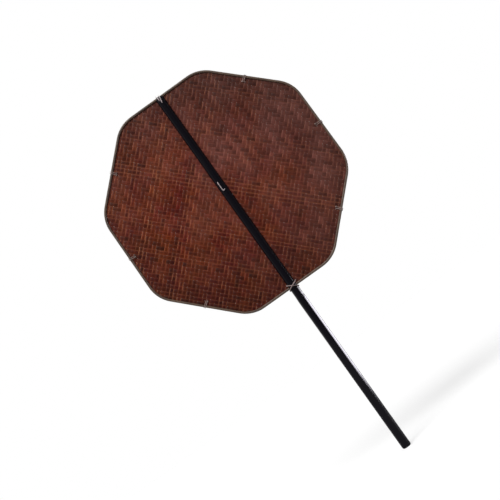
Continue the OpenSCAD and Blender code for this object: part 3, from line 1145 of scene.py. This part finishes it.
@dataclass
class Rim:
    """Two half-round splints bent round the mat's edge, front and back."""

    sizes: FanSizes
    splint_gap: float = 0.3 * MM
    crown_bevel: float = 0.85 * MM
    foot_bevel: float = 0.12 * MM
    bend_steps: int = 10
    joint_swell: float = 1.07
    joint_l: float = 1.6 * MM
    joints: Tuple[Tuple[int, float], ...] = ((1, 0.62), (3, 0.3), (5, 0.74), (7, 0.2))

    def build(self) -> None:
        """Bends both splints and dresses them."""
        material = RIM_FINISH.material("rim_splint")
        for side, name, node in ((Side.FRONT, "front_rim", "front_rim_splint"),
                                 (Side.BACK, "back_rim", "back_rim_splint")):
            piece = self.splint(side, name)
            dress(piece, material, "rim_splint", node)

    def splint(self, side: Side, name: str) -> bpy.types.Object:
        """Bends one splint round the octagon from its end at the bottom.

        Args:
            side: the face of the blade that it lies on.
            name: the piece's name.

        Returns:
            The splint.
        """
        sizes = self.sizes
        foot = side.value * sizes.mat_t / 2
        crown = foot + side.value * sizes.rim_t
        middle = (self.splint_gap / 2, (foot + crown) / 2, sizes.grip_l + sizes.rim_w / 2)
        deselect()
        bpy.ops.mesh.primitive_plane_add(size=1, rotation=(0, math.pi / 2, 0), location=middle)
        piece = name_active(name)
        piece.scale = (sizes.rim_w, sizes.rim_t, 1)
        settle(piece)
        for height, width in ((crown, self.crown_bevel), (foot, self.foot_bevel)):
            edit_where(piece, lambda co, y=height: abs(co.y - y) < HAIR)
            bpy.ops.mesh.bevel(offset=width, affect="VERTICES", segments=5 if height == crown else 1)
            leave()
        edit(piece)
        bpy.ops.mesh.delete(type="ONLY_FACE")
        bpy.ops.mesh.select_all(action="SELECT")
        self.run_round(side)
        leave()
        close_and_face_out(piece)
        self.lay_out(piece)
        smooth(piece, degrees=40)
        return piece

    def run_round(self, side: Side) -> None:
        """Extrudes and spins the selected section along eight sides and corners.

        Args:
            side: the face of the blade that the splint lies on.
        """
        sizes = self.sizes
        inner = sizes.apothem - sizes.corner_r
        straight = 2 * inner * math.tan(math.radians(SIDE_ANGLE / 2))
        for number in range(SIDES + 1):
            run = straight if 0 < number < SIDES else (straight - self.splint_gap) / 2
            angle = math.radians(SIDE_ANGLE * number)
            way = Vector((math.cos(angle), 0, math.sin(angle)))
            self.straight_run(way, run, number, side)
            if number == SIDES:
                break
            corner = math.radians(SIDE_ANGLE * (number - 1.5))
            centre = sizes.centre + Vector((math.cos(corner), 0, math.sin(corner))) * (
                inner / math.cos(math.radians(SIDE_ANGLE / 2)))
            bpy.ops.mesh.spin(steps=self.bend_steps, angle=math.radians(SIDE_ANGLE), center=centre,
                              axis=(0, 1, 0))

    def straight_run(self, way: Vector, run: float, number: int, side: Side) -> None:
        """Extrudes the selected section along one side, with a swollen joint where it has one.

        Args:
            way: the side's direction.
            run: its length.
            number: its number, from the bottom anticlockwise.
            side: the face of the blade that the splint lies on.
        """
        share = next((s for n, s in self.joints if n == number), None)
        if share is None:
            pull(*(way * run))
            return
        if side is Side.BACK:
            share = 1 - share
        to_joint = run * share - self.joint_l / 2
        pull(*(way * to_joint))
        for swell in (self.joint_swell, 1 / self.joint_swell):
            pull(*(way * self.joint_l / 2))
            bpy.ops.transform.resize(value=(swell, swell, swell))
        pull(*(way * (run - to_joint - self.joint_l)))

    def lay_out(self, piece: bpy.types.Object) -> None:
        """Writes the splint's UV map in metres: round the blade, and over the section.

        Args:
            piece: the splint.
        """
        layer = piece.data.uv_layers.new(name="Rim")
        centre = self.sizes.centre
        for corner in piece.data.loops:
            place = piece.data.vertices[corner.vertex_index].co - centre
            turn = math.atan2(place.x, -place.z) % (2 * math.pi)
            out = Vector((place.x, place.z)).length
            layer.data[corner.index].uv = (turn * self.sizes.apothem, out + abs(place.y))


@dataclass
class Stick:
    """The round lacquered stick, slit from its tip and pared down where it holds the blade."""

    sizes: FanSizes
    facets: int = 72
    butt_round: float = 2 * MM
    tip_round: float = 3 * MM
    slit_clear: float = 0.05 * MM
    seat_clear: float = 0.15 * MM
    arris: float = 0.15 * MM

    def build(self) -> None:
        """Turns, pares, slits and dresses the stick."""
        sizes = self.sizes
        stick = self.turned()
        right_across = 4 * sizes.stick_r
        slit_t = sizes.mat_t + 2 * self.slit_clear
        slit_l = 2 * sizes.apothem + 2 * sizes.slit_run
        self.cut(stick, "slit", (right_across, slit_t, slit_l), sizes.blade_z)
        seat_t = sizes.mat_t + 2 * (sizes.rim_t + self.seat_clear)
        seat_h = sizes.rim_w + 2 * self.seat_clear
        for level in (sizes.grip_l, sizes.stick_l - sizes.rim_w):
            self.cut(stick, "seat", (right_across, seat_t, seat_h), level + sizes.rim_w / 2)
        apply_modifier(stick, "BEVEL", width=self.arris, segments=2, limit_method="ANGLE",
                       angle_limit=math.radians(40))
        smooth(stick, degrees=35)
        material = STICK_FINISH.material("black_lacquer", sizes)
        dress(stick, material, "black_lacquer", "handle_stick")

    def turned(self) -> bpy.types.Object:
        """Turns the round stick with its rounded ends and its pared head.

        Returns:
            The stick, not yet slit.
        """
        sizes = self.sizes
        deselect()
        bpy.ops.mesh.primitive_cylinder_add(vertices=self.facets, radius=sizes.stick_r,
                                            depth=sizes.stick_l, location=(0, 0, sizes.stick_l / 2))
        stick = name_active("lacquered_stick")
        settle(stick)
        slit_z = sizes.grip_l - sizes.slit_run
        edit(stick)
        for level in (slit_z - sizes.pare_l, slit_z - sizes.pare_l / 2, slit_z):
            bpy.ops.mesh.select_all(action="SELECT")
            bpy.ops.mesh.bisect(plane_co=(0, 0, level), plane_no=(0, 0, 1))
        leave()
        for level, share in ((slit_z - sizes.pare_l / 2, 0.5), (slit_z, 1.0)):
            slim = 1 - share * sizes.pare / sizes.stick_r
            above = level - HAIR
            below = level + HAIR if share < 1 else sizes.stick_l + MM
            edit_where(stick, lambda co, a=above, b=below: a < co.z < b)
            bpy.ops.transform.resize(value=(slim, slim, 1), center_override=(0, 0, level))
            leave()
        for level, radius in ((0.0, self.butt_round), (sizes.stick_l, self.tip_round)):
            edit_where(stick, lambda co, z=level: abs(co.z - z) < HAIR)
            bpy.ops.mesh.bevel(offset=radius, affect="EDGES", segments=6)
            leave()
        return stick

    def cut(self, stick: bpy.types.Object, name: str, size: Tuple[float, float, float],
            level: float) -> None:
        """Cuts a square channel right across the stick.

        Args:
            stick: the stick.
            name: the cutter's name.
            size: the channel's size along X, Y and Z.
            level: the height of its middle.
        """
        deselect()
        bpy.ops.mesh.primitive_cube_add(size=1, location=(0, 0, level), scale=size)
        cutter = name_active(name)
        settle(cutter)
        apply_modifier(stick, "BOOLEAN", operation="DIFFERENCE", object=cutter, solver="EXACT")
        discard(cutter)


@dataclass(frozen=True)
class Thread:
    """One thread's sizes."""

    radius: float = 0.6 * MM
    knot_r: float = 1.15 * MM
    cut_end: float = 1.4 * MM
    clear: float = 0.1 * MM
    turn_gap: float = 0.6 * MM

    @property
    def stand_off(self) -> float:
        """Distance of the thread's middle from what it lies on."""
        return self.radius + self.clear

    @property
    def turn_pitch(self) -> float:
        """Spacing of two turns side by side."""
        return 2 * self.radius + self.turn_gap

    @property
    def knot_pitch(self) -> float:
        """Spacing of a knot and the turn beside it."""
        return self.turn_pitch + self.knot_r - self.radius


@dataclass
class Lashings:
    """The grey threads that tie the rim, the mat and the stick together."""

    sizes: FanSizes
    thread: Thread = Thread()
    tie: Thread = Thread(radius=0.35 * MM, knot_r=0.8 * MM, cut_end=0.8 * MM)
    tip_spread: float = 3.4 * MM
    tip_shift: float = 1.1 * MM
    tip_step: float = 0.4
    tip_turns: int = 2
    tip_drop: float = 8.5 * MM
    tip_round: float = 3 * MM
    tie_turns: int = 2
    tie_inset: float = 6.8 * MM
    stitch_top: float = 11 * MM
    stitch_l: float = 10 * MM
    stitch_left: float = 1.4 * MM
    stitch_right: float = 0.6 * MM
    stitch_sag: float = 0.9 * MM
    lash_up: float = 2 * MM
    lash_down: float = 1 * MM
    lash_steps: int = 24
    tie_lean: float = 0.3
    rim_crown: float = 0.5 * MM
    crest_share: float = 0.6
    knot_steps: int = 48
    knot_l: float = 0.94
    knot_ply: float = 0.8
    ply_count: int = 3
    ply_bulge: float = 0.12
    twist_l: float = 5.2 * MM
    step: float = 0.3 * MM
    ties: Tuple[Tuple[str, int], ...] = (
        ("right", 0), ("upper_right", 45), ("upper_left", 135), ("left", 180),
        ("lower_left", 225), ("lower_right", 315),
    )

    def on_stick(self, x: float) -> float:
        """Distance from the blade's plane to the middle of a thread that lies on the stick at x."""
        return math.sqrt((self.sizes.head_r + self.thread.stand_off) ** 2 - x * x)

    def build(self) -> None:
        """Winds every lashing and dresses them."""
        grey = LASHING_FINISH.material("grey_thread", self.sizes)
        handled = HANDLED_FINISH.material("handled_thread", self.sizes)
        soiled = TIE_FINISH.material("soiled_thread", self.sizes)
        profile = self.profile()
        for route, name, material, node in (
            (self.top_route(), "top_lashing_thread", grey, "top_lashing"),
            (self.stitch_route(), "middle_stitch_thread", grey, "middle_stitch"),
            (self.lower_route(), "lower_lashing_thread", handled, "lower_lashing"),
        ):
            dress(self.wound(route, self.thread, profile, name), material, "thread", node)
        master = self.wound(self.tie_route(), self.tie, profile, "tie")
        for place, angle in self.ties:
            tie = own_copy(master, f"rim_tie_{place}_thread")
            pick(tie)
            tie.location = -self.sizes.centre
            settle(tie)
            tie.rotation_euler = (0, -math.radians(angle), 0)
            settle(tie)
            tie.location = self.sizes.centre
            settle(tie)
            dress(tie, soiled, "thread", f"rim_tie_{place}")
        discard(master, profile)

    def profile(self) -> bpy.types.Object:
        """Draws the thread's section of three plies as a closed curve.

        Returns:
            The curve, for the threads to be swept with.
        """
        deselect()
        curve = bpy.data.curves.new("ply_section", "CURVE")
        curve.dimensions = "2D"
        spline = curve.splines.new("POLY")
        points = 6 * self.ply_count
        spline.points.add(points - 1)
        spline.use_cyclic_u = True
        for index, point in enumerate(spline.points):
            angle = 2 * math.pi * index / points
            bulge = self.ply_bulge * abs(math.cos(self.ply_count * angle / 2))
            radius = self.thread.radius * (1 - self.ply_bulge + bulge)
            point.co = (radius * math.cos(angle), radius * math.sin(angle), 0, 1)
        section = bpy.data.objects.new("ply_section", curve)
        bpy.context.scene.collection.objects.link(section)
        return section

    def wound(self, route: Route, thread: Thread, profile: bpy.types.Object,
              name: str) -> bpy.types.Object:
        """Sweeps a twisted thread along a route and ties its end off in a knot.

        Args:
            route: the thread's corners and bends, its knot last.
            thread: the thread's sizes.
            profile: the section of the thicker thread.
            name: the piece's name.

        Returns:
            The thread as one mesh piece.
        """
        lead = (route[-1] - route[-2]).normalized()
        knot = self.knot(route[-1], lead, thread.knot_r)
        share = thread.radius / self.thread.radius
        pieces = []
        for number, (points, ply) in enumerate(((even(route, self.step), 1.0),
                                                (even(knot, 0.5 * self.step), self.knot_ply))):
            curve = bpy.data.curves.new(name, "CURVE")
            curve.dimensions = "3D"
            curve.twist_mode = "MINIMUM"
            curve.bevel_mode = "OBJECT"
            curve.bevel_object = profile
            curve.use_fill_caps = True
            spline = curve.splines.new("POLY")
            spline.points.add(len(points) - 1)
            travelled = 0.0
            for index, (point, place) in enumerate(zip(spline.points, points)):
                travelled += (place - points[index - 1]).length if index else 0.0
                point.co = (*place, 1)
                point.tilt = 2 * math.pi * travelled / (self.twist_l * share)
                point.radius = share * ply
            piece = bpy.data.objects.new(f"{name}_{number}", curve)
            bpy.context.scene.collection.objects.link(piece)
            pick(piece)
            bpy.ops.object.convert(target="MESH")
            pieces.append(bpy.context.object)
        whole = join(pieces, name)
        close_and_face_out(whole)
        smooth(whole, degrees=60)
        return whole

    def knot(self, place: Vector, lead: Vector, knot_r: float) -> Route:
        """Draws an overhand knot that the thread runs into.

        Args:
            place: where the thread ends.
            lead: the way it comes.
            knot_r: the knot's radius.

        Returns:
            The knot's points.
        """
        aside = lead.orthogonal().normalized()
        other = lead.cross(aside)
        size = knot_r * 0.42
        wide, deep = size * 0.72, size * 1.1
        middle = place - lead * knot_r
        points = []
        for index in range(self.knot_steps + 1):
            t = 2 * math.pi * index / self.knot_steps * self.knot_l
            points.append(middle
                          + aside * wide * (math.sin(t) + 2 * math.sin(2 * t))
                          + other * wide * (math.cos(t) - 2 * math.cos(2 * t))
                          - lead * deep * math.sin(3 * t))
        tail = points[-1] + (points[-1] - points[-2]).normalized() * 1.3 * knot_r
        return points + [tail]

    def top_route(self) -> Route:
        """Up the front of the stick, over its tip with the rim, and down the back, turn by turn.

        Returns:
            The route.
        """
        thread = self.thread
        top = self.sizes.stick_l + thread.stand_off + thread.clear
        over = self.tip_round + thread.stand_off
        lasts = self.tip_turns - 1
        holes = [(-turn * self.tip_shift,
                  self.sizes.stick_l - self.tip_drop * (1 - self.tip_step * turn / lasts))
                 for turn in range(self.tip_turns)]
        knot_x = holes[-1][0] - 2 * thread.radius - thread.turn_gap - thread.clear
        first_x, first_z = holes[0]
        corners = [((first_x, self.on_stick(first_x) + thread.cut_end, first_z), 0.0)]
        for turn, (x, low) in enumerate(holes):
            tip_x = self.tip_spread * (1 / 2 - turn / lasts)
            after, after_low = holes[turn + 1] if turn < lasts else (knot_x, low)
            corners += [((x, -self.on_stick(x), low), thread.stand_off),
                        ((tip_x, -self.on_stick(tip_x), top), over),
                        ((after, self.on_stick(after), top), over)]
            if turn < lasts:
                corners.append(((after, self.on_stick(after), after_low), thread.stand_off))
        last_y = self.on_stick(knot_x) + thread.knot_r - thread.radius
        corners.append(((knot_x, last_y, first_z - 4 * thread.knot_r), 0.0))
        return rounded(corners)

    def stitch_route(self) -> Route:
        """Out of the upper hole, straight down the front, and with a slack hook into the lower hole.

        Returns:
            The route.
        """
        thread = self.thread
        upper = self.sizes.blade_z + self.stitch_top
        lower = upper - self.stitch_l
        left, right = self.on_stick(self.stitch_left), self.on_stick(self.stitch_right)
        low_x = (self.stitch_right - self.stitch_left) / 2
        return rounded([
            ((-self.stitch_left, left + thread.cut_end, upper), 0.0),
            ((-self.stitch_left, -left, upper), thread.stand_off),
            ((-self.stitch_left, -left, lower), 2 * thread.radius),
            ((low_x, -self.on_stick(low_x) - thread.clear, lower - self.stitch_sag), 2 * thread.radius),
            ((self.stitch_right, -right, lower), thread.stand_off),
            ((self.stitch_right, right, lower), thread.stand_off),
            ((0, self.on_stick(0) + thread.knot_r - thread.radius, upper - 4 * thread.knot_r), 0.0),
        ])

    def lower_route(self) -> Route:
        """Down across the front, round the back, and up across the front over the first half turn.

        Returns:
            The route.
        """
        thread = self.thread
        near = self.sizes.head_r + thread.stand_off
        far = self.sizes.head_r + thread.knot_r + thread.clear
        low = self.sizes.grip_l - thread.radius - self.lash_down
        high = self.sizes.grip_l + self.sizes.rim_w + thread.radius + self.lash_up
        stops = [(near, high), (near, low), (near, low), (far, high)]
        points = [Vector((-near, self.sizes.mat_t / 2 + thread.cut_end, high))]
        for half_turn, ((r0, z0), (r1, z1)) in enumerate(zip(stops, stops[1:])):
            lift = thread.turn_pitch if half_turn == len(stops) - 2 else 0.0
            for step in range(self.lash_steps):
                part = step / self.lash_steps
                ease = (1 - math.cos(math.pi * part)) / 2
                turn = math.pi * (1 - half_turn - part)
                radius = r0 + (r1 - r0) * ease + lift * math.sin(math.pi * part) ** 2
                points.append(Vector((radius * math.cos(turn), -radius * math.sin(turn),
                                      z0 + (z1 - z0) * ease)))
        end = Vector((far, 0, high))
        return points + [end, end + Vector((0, self.sizes.mat_t / 2 + 2 * thread.knot_r, 0))]

    def tie_route(self) -> Route:
        """Through the mat, round the rim and back in, once a turn, on the blade's right side.

        Returns:
            The route.
        """
        sizes, thread = self.sizes, self.tie
        rim_half = sizes.mat_t / 2 + sizes.rim_t
        inside = sizes.apothem - self.tie_inset
        crest = (sizes.apothem - self.crest_share * sizes.rim_w,
                 rim_half + thread.stand_off + thread.clear / 2)
        edge = (sizes.apothem + thread.stand_off, rim_half - self.rim_crown + thread.stand_off)
        flat = sizes.mat_t / 2 + thread.stand_off
        turns = [(turn - self.tie_turns / 2) * thread.turn_pitch for turn in range(self.tie_turns)]
        corners = [((inside, -sizes.mat_t / 2 - thread.cut_end, turns[0]), 0.0)]
        for number, here in enumerate(turns):
            last = number == self.tie_turns - 1
            there = here + thread.knot_pitch if last else turns[number + 1]
            corners += [
                ((inside, flat, here), thread.stand_off),
                ((*crest, here), thread.stand_off),
                ((*edge, here + (there - here) * self.tie_lean), thread.stand_off),
                ((edge[0], -edge[1], (here + there) / 2), thread.stand_off),
                ((crest[0], -crest[1], there - (there - here) * self.tie_lean), thread.stand_off),
            ]
            if not last:
                corners.append(((inside, -flat, there), thread.stand_off))
        corners.append(((inside - thread.knot_r, -sizes.mat_t / 2 - thread.knot_r - thread.clear,
                         turns[-1] + thread.knot_pitch), 0.0))
        return [place + sizes.centre for place in rounded(corners)]


def rounded(corners: Sequence[Tuple[Tuple[float, float, float], float]], steps: int = 8) -> Route:
    """Rounds the corners of a route of straight runs.

    Args:
        corners: each corner's place and bend radius.
        steps: how many chords each bend has.

    Returns:
        The route's points.
    """
    places = [Vector(place) for place, _ in corners]
    route = [places[0]]
    for index in range(1, len(places) - 1):
        corner = places[index]
        back, on = places[index - 1] - corner, places[index + 1] - corner
        half = back.angle(on) / 2
        reach = min(corners[index][1] / math.tan(half), 0.48 * back.length, 0.48 * on.length)
        start, end = corner + back.normalized() * reach, corner + on.normalized() * reach
        for step in range(steps + 1):
            part = step / steps
            route.append(start.lerp(corner, part).lerp(corner.lerp(end, part), part))
    return route + [places[-1]]


def even(route: Route, step: float) -> Route:
    """Spaces a route's points evenly.

    Args:
        route: the points.
        step: about how far apart they are to be.

    Returns:
        The evenly spaced points.
    """
    travelled = [0.0]
    for here, there in zip(route, route[1:]):
        travelled.append(travelled[-1] + (there - here).length)
    count = max(2, round(travelled[-1] / step))
    points, segment = [], 0
    for index in range(count + 1):
        wanted = travelled[-1] * index / count
        while segment < len(route) - 2 and travelled[segment + 1] < wanted:
            segment += 1
        length = travelled[segment + 1] - travelled[segment]
        share = (wanted - travelled[segment]) / length if length else 0.0
        points.append(route[segment].lerp(route[segment + 1], min(1.0, share)))
    return points


@dataclass
class Studio:
    """The camera at the photograph's angle, the pale floor and the plain soft light."""

    sizes: FanSizes
    film_w: float = 36
    image_px: float = 500
    focal_px: float = 1000
    blade_u_px: float = 225.13
    blade_v_px: float = 190.79
    blade_scale_px: float = 945.5
    in_plane: float = 9.52
    tilt_x: float = -4.35
    tilt_y: float = 5.5
    floor_half: float = 8.0
    floor_tone: float = 0.3
    floor_lift: float = 0.66
    room_light: float = 0.55
    room_gloss: float = 0.15
    side_gloss: Tones = (0.45, 0.5)
    back_gloss: float = 0.6
    key_strength: float = 2.9
    key_spread: float = 28
    key_from: Tuple[float, float, float] = (-0.45, -1.35, 1.45)
    softbox_level: float = 26.0
    softbox_tint: Colour = (0.93, 0.90, 1.0)
    softbox_size: Tuple[float, float] = (1.1, 0.3)
    softbox_z: float = 0.13
    softbox_azimuth: float = 101.0
    softbox_away: float = 1.0

    def build(self) -> None:
        """Sets up the camera, the floor, the lamps and the world."""
        self.camera()
        self.floor()
        self.lamps()
        self.world()
        bpy.context.scene.view_settings.view_transform = "Standard"

    def camera(self) -> None:
        """Places the camera as the blade's outline in the photograph gives it."""
        distance = self.focal_px / self.blade_scale_px
        seen = Vector((
            (self.blade_u_px - self.image_px / 2) / self.focal_px * distance,
            (self.blade_v_px - self.image_px / 2) / self.focal_px * distance,
            distance,
        ))
        tilt = Vector((math.radians(self.tilt_x), math.radians(self.tilt_y), 0))
        turned = Matrix.Rotation(tilt.length, 3, tilt.normalized()) @ Matrix.Rotation(
            math.radians(self.in_plane), 3, "Z")
        diagonal = math.sqrt(0.5)
        fan_x = turned @ Vector((diagonal, -diagonal, 0))
        fan_z = turned @ Vector((-diagonal, -diagonal, 0))
        fan_y = fan_z.cross(fan_x)
        to_fan = Matrix((fan_x, fan_y, fan_z))
        right, down, ahead = (to_fan @ Vector(axis) for axis in ((1, 0, 0), (0, 1, 0), (0, 0, 1)))
        data = bpy.data.cameras.new("camera")
        data.sensor_width = self.film_w
        data.lens = self.film_w * self.focal_px / self.image_px
        data.clip_start, data.clip_end = 0.01, 50
        camera = bpy.data.objects.new("camera", data)
        bpy.context.scene.collection.objects.link(camera)
        place = Matrix((right, -down, -ahead)).transposed().to_4x4()
        place.translation = self.sizes.centre - to_fan @ seen
        camera.matrix_world = place
        bpy.context.scene.camera = camera
        LOG.info("camera at %s", tuple(round(x, 3) for x in place.translation))

    def floor(self) -> None:
        """Lays the pale floor that the stick's butt end meets, and that the camera sees as white."""
        deselect()
        bpy.ops.mesh.primitive_plane_add(size=2 * self.floor_half, location=(0, 0, 0))
        floor = name_active("floor")
        bench = NodeBench.material("pale_floor")
        seen = bench.add("ShaderNodeLightPath").outputs["Is Camera Ray"]
        tone = self.floor_tone
        floor.data.materials.append(bench.surface(
            Base_Color=(tone, tone, tone, 1), Roughness=0.95, Specular_IOR_Level=0.0,
            Emission_Color=(1, 1, 1, 1), Emission_Strength=bench.product(seen, self.floor_lift),
        ))

    def lamps(self) -> None:
        """Hangs the even key light high in front, and a softbox at the stick's right for its gloss."""
        key = bpy.data.lights.new("key_light", "SUN")
        key.energy = self.key_strength
        key.angle = math.radians(self.key_spread)
        self.hang(key, self.sizes.centre + Vector(self.key_from))
        softbox = bpy.data.lights.new("softbox", "AREA")
        softbox.shape = "RECTANGLE"
        softbox.size, softbox.size_y = self.softbox_size
        softbox.energy = self.softbox_level * math.pi * softbox.size * softbox.size_y
        softbox.color = self.softbox_tint
        turn = math.radians(self.softbox_azimuth)
        away = self.softbox_away
        place = Vector((math.sin(turn) * away, -math.cos(turn) * away, self.softbox_z))
        self.hang(softbox, place).visible_diffuse = False

    def hang(self, lamp: bpy.types.Light, place: Vector) -> bpy.types.Object:
        """Hangs a lamp, aimed at the stick.

        Args:
            lamp: the lamp.
            place: where it hangs.

        Returns:
            Its holder.
        """
        holder = bpy.data.objects.new(lamp.name, lamp)
        bpy.context.scene.collection.objects.link(holder)
        holder.location = place
        level = self.sizes.blade_z if lamp.type == "SUN" else place.z
        aim = Vector((0, 0, level)) - place
        holder.rotation_euler = aim.to_track_quat("-Z", "Y").to_euler()
        holder.visible_camera = False
        return holder

    def world(self) -> None:
        """Surrounds the fan with white for the camera, softer light, and a dim room to mirror in front."""
        world = bpy.data.worlds.new("white_room")
        bpy.context.scene.world = world
        bench = NodeBench(world, "Generated")
        rays = bench.add("ShaderNodeLightPath")
        right, ahead, _ = bench.axes(bench.place)
        beside_level, right_share = self.side_gloss
        beside = bench.product(bench.span(ahead, -0.75, 0.0, self.room_gloss, beside_level),
                               bench.span(right, 0.0, 0.8, 1.0, right_share))
        behind = bench.product(bench.span(ahead, 0.0, 0.4, 0.0, self.back_gloss),
                               bench.span(right, -0.6, 0.0, 0.6, 1.0))
        mirrored = bench.math("ADD", beside, behind)
        strength = self.either(bench, rays.outputs["Is Glossy Ray"], self.room_light, mirrored)
        for ray in ("Is Camera Ray", "Is Transmission Ray"):
            strength = self.either(bench, rays.outputs[ray], strength, 1.0)
        bench.surface(Color=(1, 1, 1, 1), Strength=strength)

    @staticmethod
    def either(bench: NodeBench, switch: bpy.types.NodeSocket, off: object,
               on: object) -> bpy.types.NodeSocket:
        """Picks one of two numbers.

        Args:
            bench: where the node goes.
            switch: 0 or 1.
            off: the number for 0.
            on: the number for 1.

        Returns:
            The number.
        """
        node = bench.add("ShaderNodeMix", data_type="FLOAT")
        bench.feed(node.inputs[0], switch)
        bench.feed(node.inputs[2], off)
        bench.feed(node.inputs[3], on)
        return node.outputs[0]


def main() -> None:
    """Builds the fan's pieces in order, and the studio round them."""
    logging.basicConfig(level=logging.INFO, format="%(name)s: %(message)s")
    sizes = FanSizes.from_solids()
    Studio(sizes).build()
    for part in (WovenMat(sizes), Rim(sizes), Stick(sizes), Lashings(sizes)):
        part.build()
    deselect()


if __name__ == "__main__":
    main()
